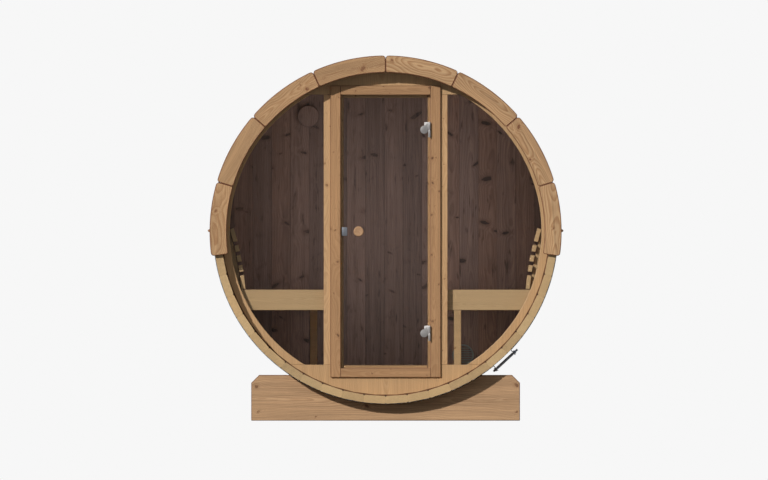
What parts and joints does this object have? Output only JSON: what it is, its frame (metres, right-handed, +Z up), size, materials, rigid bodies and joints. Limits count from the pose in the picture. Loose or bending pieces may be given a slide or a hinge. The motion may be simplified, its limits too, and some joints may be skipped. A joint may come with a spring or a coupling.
{
  "type": "barrel sauna",
  "caption": "Round timber barrel sauna on two cradles, with a glazed front wall, a hinged glass door, benches with backrests and a dark rear wall.",
  "frame": {"origin": "on the ground, under the middle of the barrel's length and width", "axes": "+Z up, the front with the glass door faces -Y, +X to the right as seen from the front"},
  "size_m": [2.068, 2.2566, 2.1241],
  "materials": {
    "stave_wood": "planed spruce, lightly oiled",
    "trim_wood": "planed spruce with knots",
    "frame_wood": "planed spruce",
    "heat_treated_wood": "dark heat treated boards with knots",
    "bench_wood": "planed light timber",
    "cradle_wood": "planed spruce",
    "knob_wood": "turned timber",
    "roofing": "mineral surfaced bitumen shingles",
    "band_steel": "dark satin steel",
    "hinge_metal": "satin",
    "vent_metal": "grey satin",
    "catch_metal": "satin anodised",
    "clear_glass": "clear toughened glass, 8 mm"
  },
  "bodies": {
    "barrel": {"staves_top": "stave_wood", "staves_upper_right": "stave_wood", "staves_right": "stave_wood", "staves_lower_right": "stave_wood", "staves_bottom": "stave_wood", "staves_lower_left": "stave_wood", "staves_left": "stave_wood", "staves_upper_left": "stave_wood", "front_trim_left": "trim_wood", "front_trim_right": "trim_wood", "rear_trim": "trim_wood", "roof_shingles_left": "roofing", "roof_shingles_right": "roofing", "drip_battens": "trim_wood", "band_front": "band_steel", "band_rear": "band_steel", "band_tensioners": "band_steel", "front_sill_panel": "frame_wood", "front_head_panel": "frame_wood", "front_rim_left": "frame_wood", "front_rim_right": "frame_wood", "front_posts": "frame_wood", "glazing_beads": "frame_wood", "door_jambs": "frame_wood", "door_frame_head": "frame_wood", "door_frame_sill": "frame_wood", "side_glass": "clear_glass", "hinge_leaves": "hinge_metal", "rear_wall_left": "heat_treated_wood", "rear_wall_middle": "heat_treated_wood", "rear_wall_right": "heat_treated_wood", "vent_cover": "heat_treated_wood", "vent_grilles": "vent_metal", "bench_seat_left": "bench_wood", "bench_seat_right": "bench_wood", "bench_frame_left": "bench_wood", "bench_frame_right": "bench_wood", "bench_end_boards": "bench_wood", "backrest_left": "bench_wood", "backrest_right": "bench_wood", "backrest_supports": "bench_wood", "floor_slats": "bench_wood", "floor_bearers": "bench_wood", "cradle_front": "cradle_wood", "cradle_rear": "cradle_wood"},
    "door": {"door_glass": "clear_glass", "door_knobs": "knob_wood", "door_hinge_clamps": "hinge_metal", "door_catch_plate": "catch_metal"}
  },
  "joints": [
    {"name": "door_hinge", "type": "hinge", "parent": "barrel", "child": "door", "pos_m": [0.2545, -1.044, 1.1001], "axis": [0, 0, 1], "range_deg": [0, 110]}
  ]
}
